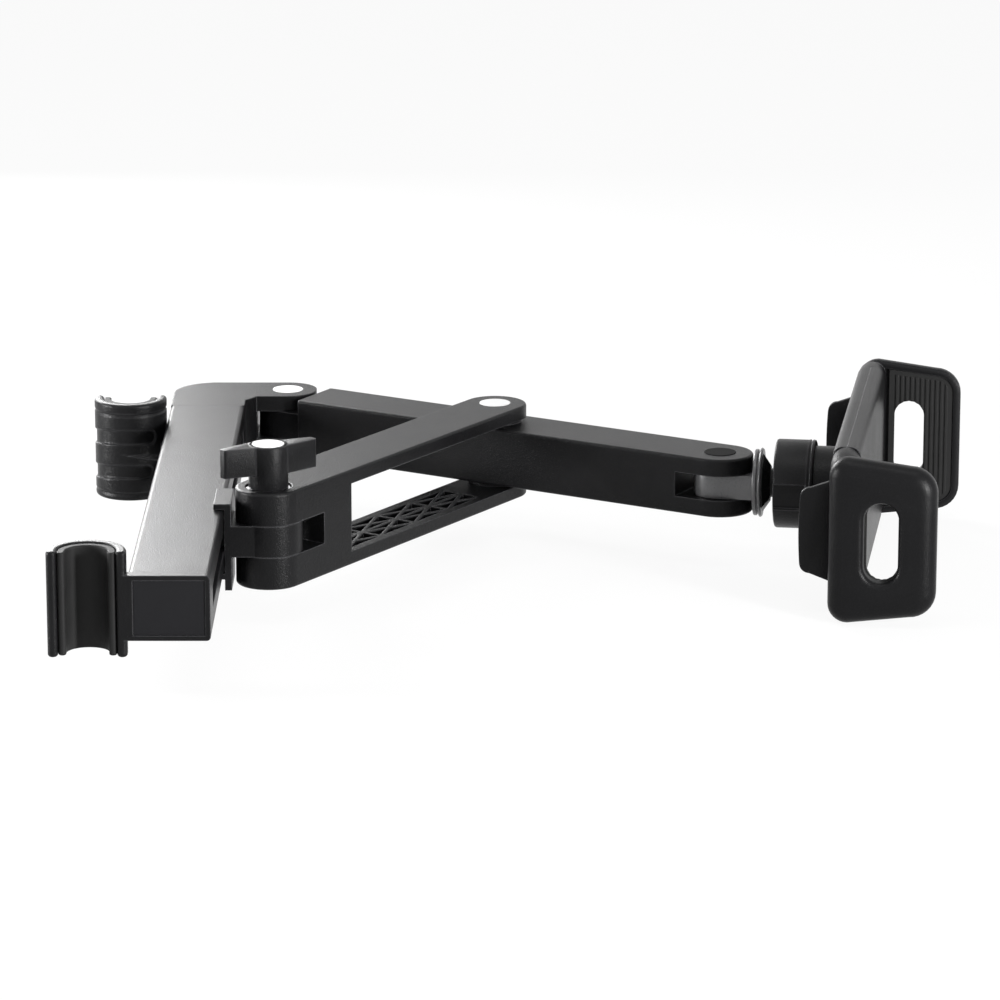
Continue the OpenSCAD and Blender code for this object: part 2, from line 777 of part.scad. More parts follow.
// The two channels that the racks slide in, and the room around the pinion
module holder_inside() {
    half_t = rack_t / 2 + channel_gap;
    low = rack_root_z - 2.6;
    high = rack_top_z + channel_gap;
    for (turn = [0, 180]) rotate([turn, 0, 0])
        block([holder_mid_at - half_t, -holder_len / 2 - past, low],
              [holder_mid_at + half_t, rack_far + 1, high]);
    translate([holder_mid_at - half_t, 0, 0]) along_holder() post(pitch_r + 2.2, 0, 2 * half_t);
}

// The split cup that holds the ball and its rings, drawn about Z
module ball_cup() {
    cup_front = 4.5;
    cup_back = holder_back_at - ball_reach;
    difference() {
        rotate_extrude() difference() {
            translate([0, -cup_front]) square([socket_r, cup_front + cup_back + 0.5]);
            circle(cavity_r);
            translate([-2 * socket_r, -2 * socket_r]) square([2 * socket_r, 4 * socket_r]);
        }
        for (turn = [45, 135]) rotate([0, 0, turn])
            block([-socket_r - past, -0.6, -cup_front - past], [socket_r + past, 0.6, cup_slot]);
    }
}

module holder_back() {
    color([0.14, 0.14, 0.15]) at_holder() {
        difference() {
            intersection() {
                holder_section(-holder_len / 2, holder_len / 2);
                block([holder_back_at - past, -holder_len, -holder_h], [holder_mid_at, holder_len, holder_h]);
            }
            holder_inside();
        }
        translate([ball_reach, 0, 0]) along_holder() ball_cup();
    }
}

module holder_front() {
    color([0.14, 0.14, 0.15]) at_holder() difference() {
        intersection() {
            holder_section(-holder_len / 2, holder_len / 2);
            block([holder_mid_at, -holder_len, -holder_h], [holder_front_at + past, holder_len, holder_h]);
        }
        holder_inside();
    }
}

module pinion_axle() {
    half_t = rack_t / 2 + channel_gap;
    color([0.75, 0.75, 0.77]) at_holder() translate([holder_mid_at, 0, 0]) along_holder()
        post(pin_r, -half_t, half_t);
}

// A point of the involute that unrolls from the base circle by the angle a in degrees
function involute(base_r, a) = base_r * [cos(a) + a * PI / 180 * sin(a), sin(a) - a * PI / 180 * cos(a)];
// The angle by which an involute has unrolled where it reaches the radius r
function unrolled(base_r, r) = sqrt(r * r / (base_r * base_r) - 1) * 180 / PI;
// The polar angle of a point
function polar(p) = atan2(p[1], p[0]);

// The outline of one pinion tooth about the angle turn, with involute flanks
function pinion_tooth(turn) =
    let (base_r = pitch_r * cos(20),
         root_r = pitch_r - rack_dedendum,
         half_angle = (tooth_pitch / 2 - backlash) / pitch_r * 90 / PI,
         shift = half_angle + polar(involute(base_r, unrolled(base_r, pitch_r))),
         steps = 5,
         flank = [for (i = [0 : steps]) involute(base_r, unrolled(base_r, pitch_r + 0.95) * i / steps)],
         lower = [for (p = flank) norm(p) * [cos(turn + polar(p) - shift), sin(turn + polar(p) - shift)]],
         upper = [for (i = [steps : -1 : 0])
             let (p = flank[i]) norm(p) * [cos(turn + shift - polar(p)), sin(turn + shift - polar(p))]])
    concat([root_r * [cos(turn - shift), sin(turn - shift)]], lower, upper,
           [root_r * [cos(turn + shift), sin(turn + shift)]]);

module pinion() {
    outline = [for (i = [0 : gear_teeth - 1]) each pinion_tooth(i * 360 / gear_teeth)];
    color([0.9, 0.9, 0.88]) at_holder()
        translate([holder_mid_at - rack_t / 2, 0, 0]) along_holder() difference() {
            linear_extrude(pinion_t) polygon(outline);
            post(pin_hole_r, -past, pinion_t + past);
        }
}

// A flat spiral spring round the pinion's axle
module return_spring() {
    strip = 0.45;
    turns = 3;
    start_r = pin_r + 0.15;
    step_r = 1;
    steps = turns * 20;
    outer = [for (i = [0 : steps]) let (a = i * 18, r = start_r + strip + step_r * i / 20) r * [cos(a), sin(a)]];
    inner = [for (i = [steps : -1 : 0]) let (a = i * 18, r = start_r + step_r * i / 20) r * [cos(a), sin(a)]];
    color([0.7, 0.7, 0.72]) at_holder()
        translate([holder_mid_at - rack_t / 2 + pinion_t + 0.15, 0, 0]) along_holder()
            linear_extrude(1) polygon(concat(outer, inner));
}

// A rack that slides out of the holder toward -Y, with its teeth facing the pinion
module rack() {
    first = -1;
    last = floor(rack_far / tooth_pitch) - 1;
    half_w = tooth_pitch / 4 - backlash / 2;
    tip_half = half_w - rack_addendum * tan(20);
    root_half = half_w + rack_dedendum * tan(20);
    rack_end = root_start + rack_seat;
    tip_z = pitch_r - rack_addendum;
    teeth = [for (i = [first : last]) each let (mid = (i + 0.5) * tooth_pitch)
        [[mid - root_half, rack_root_z], [mid - tip_half, tip_z],
         [mid + tip_half, tip_z], [mid + root_half, rack_root_z]]];
    translate([holder_mid_at - rack_t / 2, 0, 0]) rotate([90, 0, 90]) linear_extrude(rack_t)
        polygon(concat([[-rack_end, rack_top_z], [-rack_end, rack_root_z]], teeth,
                       [[rack_far, rack_root_z], [rack_far, rack_top_z]]));
}

// The side view of a jaw, inset from its full outline
module jaw_outline(inset) {
    back_r = 4;
    tip_r = 7.5;
    hull() for (side = [-1, 1]) {
        translate([holder_back_at + back_r, side * (holder_h / 2 - back_r)])
            circle(back_r - inset, $fn = blend_fn);
        translate([jaw_tip_at - tip_r, side * (jaw_tip_h / 2 - tip_r)])
            circle(tip_r - inset, $fn = blend_fn);
    }
}

// A layer of a side view between two Y positions
module layer(s0, s1) {
    translate([0, s1, 0]) rotate([90, 0, 0]) linear_extrude(s1 - s0) children();
}

module window_outline(grow) {
    w = window_w + 2 * grow;
    h = window_h + 2 * grow;
    translate([window_x, 0]) {
        square([w, h - w], center = true);
        for (side = [-1, 1]) translate([0, side * (h - w) / 2]) circle(w / 2, $fn = blend_fn);
    }
}

module pad_outline(inset) {
    intersection() {
        jaw_outline(2.4 + inset);
        translate([holder_front_at + 1 + inset, -holder_h]) square([jaw_reach, 2 * holder_h]);
    }
}

// The far jaw: its root closes the holder's end and its wall stands out past the front
module jaw() {
    pillow = 3;
    thin = 0.02;
    difference() {
        union() {
            difference() {
                holder_section(root_start, jaw_out - pillow);
                rotate([180, 0, 0])
                    block([holder_mid_at - rack_t / 2 - fit, -root_start - rack_seat - fit, rack_root_z - fit],
                          [holder_mid_at + rack_t / 2 + fit, 0, rack_top_z + fit]);
            }
            hull() {
                layer(jaw_in, jaw_in + thin) jaw_outline(0.6);
                layer(jaw_in + 0.8, jaw_out - pillow) jaw_outline(0);
                layer(jaw_out - 1.5, jaw_out - 1.5 + thin) jaw_outline(0.45);
                layer(jaw_out - 0.5, jaw_out - 0.5 + thin) jaw_outline(1.5);
                layer(jaw_out - thin, jaw_out) jaw_outline(2.8);
            }
            finger_tab();
        }
        layer(jaw_in - past, jaw_out + past) window_outline(0);
        hull() {
            layer(jaw_out - 2.2, jaw_out - 2.2 + thin) window_outline(0);
            layer(jaw_out, jaw_out + thin) window_outline(1.6);
        }
        layer(jaw_in - past, jaw_in + pad_seat) pad_outline(0);
    }
}

// The thin tab on the back of a jaw's root, to pull it out by
module finger_tab() {
    tab_s = root_start + 1;
    corner = 3;
    layer(tab_s, tab_s + tab_t) hull() {
        for (side = [-1, 1]) {
            translate([holder_back_at - tab_depth + corner, side * (tab_tip_h / 2 - corner)])
                circle(corner, $fn = blend_fn);
            translate([holder_back_at + 0.5, side * (tab_h / 2 - 0.5)]) circle(0.5, $fn = blend_fn);
        }
    }
}

// The ribbed rubber pad in the far jaw
module jaw_pad() {
    rib_pitch = 1.6;
    rib_h = 0.35;
    base = 1;
    ribs = floor((jaw_tip_at - holder_front_at - 8) / rib_pitch);
    difference() {
        union() {
            layer(jaw_in + pad_seat - base, jaw_in + pad_seat - fit) pad_outline(fit);
            intersection() {
                layer(jaw_in + pad_seat - base - rib_h, jaw_in + pad_seat - base + 0.1) pad_outline(1.5);
                for (i = [0 : ribs])
                    block([holder_front_at + 3.2 + i * rib_pitch, jaw_in - past, -holder_h / 2],
                          [holder_front_at + 3.2 + i * rib_pitch + 0.8, jaw_in + pad_seat, holder_h / 2]);
            }
        }
        layer(jaw_in - past, jaw_out) window_outline(0.2);
    }
}

module near_jaw() {
    color([0.11, 0.11, 0.12]) at_holder() rotate([180, 0, 0]) jaw();
}

module far_jaw() {
    color([0.11, 0.11, 0.12]) at_holder() jaw();
}

module near_jaw_pad() {
    color([0.07, 0.07, 0.08]) at_holder() rotate([180, 0, 0]) jaw_pad();
}

module far_jaw_pad() {
    color([0.07, 0.07, 0.08]) at_holder() jaw_pad();
}

module near_rack() {
    color([0.3, 0.3, 0.32]) at_holder() rack();
}

module far_rack() {
    color([0.3, 0.3, 0.32]) at_holder() rotate([180, 0, 0]) rack();
}

bar_housing();
end_hook();
end_panel();
near_hook_liner();
elbow();
elbow_pin();
elbow_cap_top();
elbow_cap_bottom();
far_hook();
far_hook_liner();
hook_carriage();
slider_bracket();
slide_nut();
clamp_bolt();
knob_washer();
wing_knob();
knob_cap();
fork_arm();
fork_pin();
fork_cap_top();
fork_cap_bottom();
box_arm();
wrist_pin();
wrist_cap_top();
wrist_cap_bottom();
wrist_swivel();
ball_stud();
ball_seat_ring();
ball_friction_ring();
lock_nut();
holder_back();
holder_front();
pinion_axle();
return_spring();
pinion();
near_jaw();
near_rack();
near_jaw_pad();
far_jaw();
far_rack();
far_jaw_pad();
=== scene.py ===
"""The looks of the headrest tablet mount: its finishes, the studio round it and the camera."""

import json
import math

import bmesh
import bpy
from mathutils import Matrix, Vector


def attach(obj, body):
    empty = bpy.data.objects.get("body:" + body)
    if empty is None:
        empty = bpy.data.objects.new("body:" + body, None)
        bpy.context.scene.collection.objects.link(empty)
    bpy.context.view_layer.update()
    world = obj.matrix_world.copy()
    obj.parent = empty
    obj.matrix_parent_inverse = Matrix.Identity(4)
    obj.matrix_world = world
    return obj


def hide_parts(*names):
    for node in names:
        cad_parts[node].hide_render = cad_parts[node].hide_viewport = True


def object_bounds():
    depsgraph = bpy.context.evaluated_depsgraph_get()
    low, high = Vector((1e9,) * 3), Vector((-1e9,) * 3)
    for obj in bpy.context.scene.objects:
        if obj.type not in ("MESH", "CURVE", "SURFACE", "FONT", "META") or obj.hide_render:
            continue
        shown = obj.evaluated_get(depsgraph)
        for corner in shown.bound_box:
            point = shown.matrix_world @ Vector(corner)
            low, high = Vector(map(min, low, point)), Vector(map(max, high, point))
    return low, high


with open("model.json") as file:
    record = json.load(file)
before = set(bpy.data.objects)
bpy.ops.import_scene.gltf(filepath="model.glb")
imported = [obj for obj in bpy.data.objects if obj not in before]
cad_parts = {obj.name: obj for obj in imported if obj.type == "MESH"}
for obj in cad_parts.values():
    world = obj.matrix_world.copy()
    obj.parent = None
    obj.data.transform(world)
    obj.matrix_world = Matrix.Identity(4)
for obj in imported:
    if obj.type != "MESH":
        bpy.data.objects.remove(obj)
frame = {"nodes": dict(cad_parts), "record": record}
cad_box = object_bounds()
MM = 0.001
# The pale grey painted on rounded edges is a painted highlight.
PAINTED_EDGE_HIGHLIGHT = (0.075, 0.075, 0.079)


class Wire:
    """A socket of a shader's node. A sum or product of wires and numbers adds a Math node."""

    def __init__(self, shader, socket):
        self.shader = shader
        self.socket = socket

    def __add__(self, other):
        return self.shader.maths("ADD", self, other)

    def __radd__(self, other):
        return self.shader.maths("ADD", other, self)

    def __sub__(self, other):
        return self.shader.maths("SUBTRACT", self, other)

    def __rsub__(self, other):
        return self.shader.maths("SUBTRACT", other, self)

    def __mul__(self, other):
        return self.shader.maths("MULTIPLY", self, other)

    def __rmul__(self, other):
        return self.shader.maths("MULTIPLY", other, self)


class Shader:
    """The node tree of a material or of the world."""

    def __init__(self, owner):
        owner.use_nodes = True
        self.tree = owner.node_tree
        self.tree.nodes.clear()

    def node(self, kind, settings=None, inputs=None, output=0):
        """Adds a node: its settings first, then the values or wires of its sockets."""
        made = self.tree.nodes.new(kind)
        for name, value in (settings or {}).items():
            setattr(made, name, value)
        for name, value in (inputs or {}).items():
            self.put(made.inputs[name], value)
        return None if output is None else Wire(self, made.outputs[output])

    def put(self, socket, value):
        if isinstance(value, Wire):
            self.tree.links.new(value.socket, socket)
        elif socket.type == "RGBA" and len(value) == 3:
            socket.default_value = (*value, 1)
        else:
            socket.default_value = value

    def maths(self, operation, a, b):
        return self.node("ShaderNodeMath", {"operation": operation}, {0: a, 1: b})

    def clamped(self, wire):
        return self.node("ShaderNodeClamp", {}, {"Value": wire})

    def blend(self, share, low, high):
        """A colour that goes from low to high as share goes from 0 to 1."""
        return self.node("ShaderNodeMix", {"data_type": "RGBA"}, {0: share, 6: low, 7: high}, 2)

    def noise(self, place, size, detail=2.0):
        """Noise from 0 to 1 whose lumps are about size metres across."""
        inputs = {"Vector": place, "Scale": 1 / size, "Detail": detail}
        return self.node("ShaderNodeTexNoise", {}, inputs)

    def place(self):
        return self.node("ShaderNodeTexCoord", output="Object")

    def stretched(self, place, scale):
        return self.node("ShaderNodeVectorMath", {"operation": "MULTIPLY"}, {0: place, 1: scale})

    def rounded(self, radius):
        """The surface's direction with its sharp edges rounded off."""
        return self.node("ShaderNodeBevel", {"samples": 6}, {"Radius": radius})

    def turned_away(self, rounded):
        """0 on a flat face, growing towards 1 on a rounded edge."""
        flat = self.node("ShaderNodeNewGeometry", output="True Normal")
        dot = {"operation": "DOT_PRODUCT"}
        along = self.node("ShaderNodeVectorMath", dot, {0: rounded, 1: flat}, "Value")
        return self.clamped((1 - along) * 4)

    def bumped(self, height, depth, normal=None):
        inputs = {"Height": height, "Distance": depth, "Strength": 1.0}
        if normal is not None:
            inputs["Normal"] = normal
        return self.node("ShaderNodeBump", {}, inputs)

    def seen(self):
        """1 where the camera, gloss or glass looks, and 0 for light that falls on the object."""
        rays = ("Is Camera Ray", "Is Glossy Ray", "Is Transmission Ray")
        camera, gloss, glass = (self.node("ShaderNodeLightPath", output=ray) for ray in rays)
        return self.clamped(camera + gloss + glass)

    def surface(self, **inputs):
        """The finish's one shading node and its output."""
        named = {name.replace("_", " "): value for name, value in inputs.items()}
        shading = self.node("ShaderNodeBsdfPrincipled", {}, named)
        self.node("ShaderNodeOutputMaterial", {}, {"Surface": shading}, None)


def new_finish(name):
    material = bpy.data.materials.new(name)
    return material, Shader(material)


def moulded(name, dark, light, roughness, grain, grain_depth, edge, gloss=0.12):
    """Grained moulded plastic: a spark-eroded texture, smoother along the edges, with a painted
    highlight lightening the edges' colour.
    """
    material, shader = new_finish(name)
    place = shader.place()
    fine = shader.noise(place, grain, detail=2.5)
    lumps = shader.noise(place, grain * 2.2, detail=1.0)
    cloud = shader.noise(place, 18 * MM)
    rounded = shader.rounded(edge)
    # Mask of the rounded edges: it paints a highlight into the colour there and makes the edges a
    # little smoother.
    painted_highlight_and_rub = shader.turned_away(rounded)
    tone = shader.blend(shader.clamped(fine * 0.7 + cloud * 0.5 - 0.1), dark, light)
    # Painted highlight: the edges' colour is lightened towards a pale grey.
    tone = shader.blend(painted_highlight_and_rub * 0.8, tone, PAINTED_EDGE_HIGHLIGHT)
    shader.surface(
        Base_Color=tone,
        Roughness=roughness + (fine - 0.5) * 0.16 + (cloud - 0.5) * 0.08 - painted_highlight_and_rub * 0.06,
        Normal=shader.bumped(fine + lumps * 0.6, grain_depth, rounded),
        Specular_IOR_Level=gloss,
    )
    return material


def moulded_rubber(name, dark, light):
    """Soft smooth rubber with a faint bloom and small moulding lumps."""
    material, shader = new_finish(name)
    place = shader.place()
    fine = shader.noise(place, 0.25 * MM, detail=3.0)
    bloom = shader.noise(place, 6 * MM, detail=3.0)
    rounded = shader.rounded(0.25 * MM)
    shader.surface(
        Base_Color=shader.blend(shader.clamped(bloom * 0.8 + fine * 0.3 - 0.1), dark, light),
        Roughness=0.62 + (bloom - 0.5) * 0.12,
        Normal=shader.bumped(fine + bloom * 2, 0.012 * MM, rounded),
        Specular_IOR_Level=0.2,
    )
    return material


def satin_cap(name, dark, light, roughness, gloss=0.5):
    """A small satin cap: nearly smooth, with a trace of moulding flow."""
    material, shader = new_finish(name)
    place = shader.place()
    fine = shader.noise(place, 0.2 * MM)
    flow = shader.noise(shader.stretched(place, (1.0, 3.0, 1.0)), 3 * MM)
    shader.surface(
        Base_Color=shader.blend(flow, dark, light),
        Roughness=roughness + (fine - 0.5) * 0.1,
        Normal=shader.bumped(fine, 0.004 * MM, shader.rounded(0.25 * MM)),
        Specular_IOR_Level=gloss,
    )
    return material


def plated_steel(name):
    """Zinc-plated steel with turning marks round Z and a slightly clouded gloss."""
    material, shader = new_finish(name)
    place = shader.place()
    marks = shader.noise(shader.stretched(place, (1.0, 1.0, 14.0)), 0.8 * MM)
    cloud = shader.noise(place, 2.5 * MM, detail=3.0)
    shader.surface(
        Base_Color=shader.blend(cloud, (0.48, 0.48, 0.5), (0.66, 0.66, 0.67)),
        Metallic=1.0,
        Roughness=0.27 + (cloud - 0.5) * 0.16,
        Normal=shader.bumped(marks, 0.006 * MM, shader.rounded(0.2 * MM)),
    )
    return material


def natural_nylon(name):
    """Natural nylon: off-white, waxy and faintly mottled."""
    material, shader = new_finish(name)
    place = shader.place()
    mottle = shader.noise(place, 2 * MM, detail=3.0)
    shader.surface(
        Base_Color=shader.blend(mottle, (0.7, 0.68, 0.61), (0.8, 0.79, 0.74)),
        Roughness=0.4 + (mottle - 0.5) * 0.15,
        Normal=shader.bumped(shader.noise(place, 0.3 * MM), 0.006 * MM, shader.rounded(0.2 * MM)),
    )
    return material


finishes = {
    "moulded_black": moulded(
        "moulded_black", (0.002, 0.002, 0.0022), (0.009, 0.009, 0.0097), roughness=0.32,
        grain=0.3 * MM, grain_depth=0.085 * MM, edge=0.6 * MM
    ),
    "satin_black": moulded(
        "satin_black", (0.002, 0.002, 0.0022), (0.006, 0.006, 0.0065), roughness=0.33,
        grain=0.3 * MM, grain_depth=0.06 * MM, edge=0.5 * MM, gloss=0.1
    ),
    "smooth_panel": moulded(
        "smooth_panel", (0.008, 0.008, 0.009), (0.011, 0.011, 0.0125), roughness=0.34,
        grain=0.2 * MM, grain_depth=0.005 * MM, edge=0.2 * MM
    ),
    "rubber": moulded_rubber("rubber", (0.007, 0.007, 0.007), (0.013, 0.013, 0.013)),
    "white_cap": satin_cap("white_cap", (0.8, 0.8, 0.8), (0.88, 0.88, 0.88), roughness=0.35),
    "grey_cap": satin_cap("grey_cap", (0.58, 0.58, 0.58), (0.66, 0.66, 0.66), roughness=0.35),
    "black_cap": satin_cap(
        "black_cap", (0.008, 0.008, 0.008), (0.012, 0.012, 0.012), roughness=0.6, gloss=0.03
    ),
    "satin_swivel": moulded(
        "satin_swivel", (0.05, 0.05, 0.052), (0.07, 0.07, 0.072), roughness=0.3,
        grain=0.3 * MM, grain_depth=0.01 * MM, edge=0.4 * MM, gloss=0.6
    ),
    "steel": plated_steel("steel"),
    "nylon": natural_nylon("nylon"),
}
for part in frame["record"]["subparts"]:
    for slot in frame["nodes"][part["node"]].material_slots:
        slot.material = finishes[part["material_slot"]]


# Sizes are in millimetres. The holder's own directions are outward from the wrist's pin,
# along its spine, and up
BAR_LEVEL = -0.95
HOLDER_TURN = math.radians(8)
WRIST = Vector((187.2886, 140.4238, BAR_LEVEL))
OUTWARD = Vector((math.cos(HOLDER_TURN), -math.sin(HOLDER_TURN), 0))
SPINE = Vector((math.sin(HOLDER_TURN), math.cos(HOLDER_TURN), 0))
UP = Vector((0, 0, 1))
HOLDER_BACK, HOLDER_FRONT = 39.0, 47.5
JAW_TIP = 71.6
JAW_IN, JAW_OUT = 62.0, 68.5
JAW_HALF, JAW_TIP_HALF = 25.7, 23.3

BALL_AT = 24.6
NUT_R = 13.95
NUT_FRONT, NUT_FAR = -7.0, 5.4

KNOB = Vector((48.8, 77.68, BAR_LEVEL))
KNOB_FOOT, KNOB_TOP = 14.5, 28.0
KNOB_R = 6.0
WING_H = 8.7

FAR_POST = Vector((0, 182.2, 0))
HOOK_OUT, HOOK_IN = 11.5, 8.5
HOOK_HALF = 15.75
HOOK_LEG = 1.35
HOOK_ROUND = 0.9
HOOK_WALL = HOOK_OUT - HOOK_IN
TENON_HALF = 3

TONGUE_HALF_W, TONGUE_HALF_H = 8.2, 3.85
FLANGE_FROM, FLANGE_TO = 10.8, 13.6


def unit(value):
    """The value, kept between 0 and 1."""
    return max(0.0, min(1.0, value))


def quarter(steps):
    """The sine and cosine of angles from 0 to 90 degrees."""
    angles = [math.pi / 2 * i / steps for i in range(steps + 1)]
    return [(math.sin(a), math.cos(a)) for a in angles]


def arc(x, y, radius, first, last, steps=8):
    """Points of an arc about (x, y), by its first and last angle in degrees."""
    angles = [math.radians(first + (last - first) * i / steps) for i in range(steps + 1)]
    return [(x + radius * math.cos(a), y + radius * math.sin(a)) for a in angles]


def corner_loop(corners, edge_steps=4):
    """A closed outline of four round corners, each (across, up, radius, first angle in degrees)."""
    bends = [arc(across, up, radius, first, first + 90) for across, up, radius, first in corners]
    loop = []
    for bend, following in zip(bends, bends[1:] + bends[:1]):
        loop += bend
        (x0, z0), (x1, z1) = bend[-1], following[0]
        steps = [i / edge_steps for i in range(1, edge_steps)]
        loop += [(x0 + (x1 - x0) * t, z0 + (z1 - z0) * t) for t in steps]
    return loop


def levelled(outline, along):
    """An outline of (across, up), set at one place along the spine."""
    return [(across, along, up) for across, up in outline]


def joined(rings, closed=False):
    """The points and four-sided faces between rings of equal length."""
    count, last = len(rings[0]), len(rings) - 1
    points = [point for ring in rings for point in ring]
    faces = []
    pairs = [(i, i + 1) for i in range(last)] + ([(last, 0)] if closed else [])
    for a, b in pairs:
        for i in range(count):
            j = (i + 1) % count
            faces.append((a * count + i, a * count + j, b * count + j, b * count + i))
    if not closed:
        faces.append(tuple(reversed(range(count))))
        faces.append(tuple(last * count + i for i in range(count)))
    return points, faces


def turned(profile, steps=64):
    """A closed ring turned round Z from a profile of (radius, height)."""
    around = [2 * math.pi * i / steps for i in range(steps)]
    rings = [[(r * math.cos(a), r * math.sin(a), z) for a in around] for r, z in profile]
    return joined(rings, closed=True)


def rounded_prism(outline, low, high, edge):
    """An upright prism over an outline of (x, y), with its upper and lower edges rounded."""
    shaped = bmesh.new()
    floor = shaped.faces.new([shaped.verts.new((x, y, low)) for x, y in outline])
    raised = bmesh.ops.extrude_face_region(shaped, geom=[floor])["geom"]
    raised = [item for item in raised if isinstance(item, bmesh.types.BMVert)]
    bmesh.ops.translate(shaped, vec=(0, 0, high - low), verts=raised)
    bmesh.ops.recalc_face_normals(shaped, faces=shaped.faces)
    level = [e for e in shaped.edges if abs(e.verts[0].co.z - e.verts[1].co.z) < 0.001]
    bmesh.ops.bevel(
        shaped, geom=level, offset=edge, segments=3, profile=0.5, affect="EDGES", clamp_overlap=True
    )
    shaped.verts.index_update()
    points = [tuple(v.co) for v in shaped.verts]
    faces = [tuple(v.index for v in f.verts) for f in shaped.faces]
    shaped.free()
    return points, faces


def about(centre):
    """Sets a piece's points round a point of the frame."""
    return lambda point: (centre + Vector(point)) * MM


def in_wrist(point):
    """Sets a point given outward from the wrist's pin, along the spine and up."""
    return (WRIST + point[0] * OUTWARD + point[1] * SPINE + point[2] * UP) * MM


def mesh_piece(name, parts, place, slot, sharp=30):
    """One object of several closed meshes, smooth but for edges sharper than the given angle."""
    points, faces = [], []
    for part_points, part_faces in parts:
        start = len(points)
        points += [place(point) for point in part_points]
        faces += [tuple(start + i for i in face) for face in part_faces]
    mesh = bpy.data.meshes.new(name)
    mesh.from_pydata(points, [], faces)
    shaped = bmesh.new()
    shaped.from_mesh(mesh)
    bmesh.ops.recalc_face_normals(shaped, faces=shaped.faces)
    shaped.to_mesh(mesh)
    shaped.free()
    mesh.polygons.foreach_set("use_smooth", [True] * len(mesh.polygons))
    mesh.set_sharp_from_angle(angle=math.radians(sharp))
    mesh.materials.append(finishes[slot])
    piece = bpy.data.objects.new(name, mesh)
    bpy.context.scene.collection.objects.link(piece)
    return piece


def jaw_outline(inset):
    """The jaw seen from its end: wide at the spine and a little narrower at the tip."""
    back, tip = 6.0, 8.0
    return corner_loop([
        (JAW_TIP - tip, JAW_TIP_HALF - tip, tip - inset, 0),
        (HOLDER_BACK + back, JAW_HALF - back, back - inset, 90),
        (HOLDER_BACK + back, back - JAW_HALF, back - inset, 180),
        (JAW_TIP - tip, tip - JAW_TIP_HALF, tip - inset, 270),
    ])


def window_outline(grow):
    """The jaw's long round-ended window."""
    half_w, half_h, middle_at = 5.2 + grow, 12.3 + grow, 55.0
    radius = half_w - 0.05
    return corner_loop([
        (middle_at + half_w - radius, half_h - radius, radius, 0),
        (middle_at - half_w + radius, half_h - radius, radius, 90),
        (middle_at - half_w + radius, radius - half_h, radius, 180),
        (middle_at + half_w - radius, radius - half_h, radius, 270),
    ])


def jaw_wall():
    """The jaw's wall: a crowned cushion, hollowed for the pad, with a round-rimmed window."""
    lip, hollow = 2.4, 1.5
    crown_in, crown_rise, crown_edge = 5.4, 4.4, JAW_OUT - 0.15
    rim, rim_edge, flat = 1.9, JAW_OUT - 0.05, 1.5
    inside = [(lip, hollow), (lip, 0.2), (lip - 0.2, 0), (0.5, 0), (0.12, 0.2), (0, 0.6)]
    rings = [levelled(window_outline(0), JAW_IN + hollow)]
    rings += [levelled(jaw_outline(inset), JAW_IN + out) for inset, out in inside]
    for s, c in quarter(10):
        rings.append(levelled(jaw_outline(crown_in * (1 - c)), crown_edge - crown_rise * (1 - s)))
    rings.append(levelled(window_outline(rim + flat), JAW_OUT))
    for s, c in quarter(7):
        rings.append(levelled(window_outline(rim * (1 - s)), rim_edge - rim * (1 - c)))
    return joined(rings, closed=True)


def jaw_root():
    """The block that closes the holder's end."""
    left, right, high, r = HOLDER_BACK, HOLDER_FRONT, JAW_HALF, 4.2
    holder_end, chamfer, neck = 52.2, 0.25, 0.6
    stations = [(chamfer, holder_end), (0.0, holder_end + chamfer), (0.0, JAW_IN - 2.5)]
    stations += [(neck, JAW_IN), (neck, JAW_IN + 1.6)]
    rings = []
    for inset, along in stations:
        rings.append(levelled(corner_loop([
            (right - r, high - r, r - inset, 0),
            (left + r, high - r, r - inset, 90),
            (left + r, r - high, r - inset, 180),
            (right - r, r - high, r - inset, 270),
        ]), along))
    return joined(rings)


def tab_outline(inset):
    """The finger tab seen from the holder's end, with a bowed free edge."""
    root, free = HOLDER_BACK + 0.6, HOLDER_BACK - 9.8
    high, low = 16.0, 13.4
    bow_deep, bow_half = 0.4, 11
    loop = corner_loop([
        (root, high - 0.5, 0.5 - inset, 0),
        (free + 3.4, low - 3.0, 3.0 - inset, 90),
        (free + 3.4, 3.0 - low, 3.0 - inset, 180),
        (root, 0.5 - high, 0.5 - inset, 270),
    ], edge_steps=10)
    bows = [bow_deep * max(0.0, 1 - (z / bow_half) ** 2) for x, z in loop]
    return [(x - bow if x < free + 1.2 else x, z) for (x, z), bow in zip(loop, bows)]


def jaw_tab():
    """The thin finger tab behind the spine."""
    rounding = [(0.35, 53.2), (0.1, 53.3), (0.0, 53.55), (0.0, 54.85), (0.1, 55.1), (0.35, 55.2)]
    return joined([levelled(tab_outline(inset), along) for inset, along in rounding])


def moulded_jaw(node, side):
    """The far jaw, where side is 1, or the near jaw, which is the same piece turned over."""
    piece = mesh_piece(
        node + "_moulding", [jaw_wall(), jaw_root(), jaw_tab()],
        lambda point: in_wrist((point[0], side * point[1], side * point[2])), "satin_black"
    )
    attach(piece, node)
    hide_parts(node)


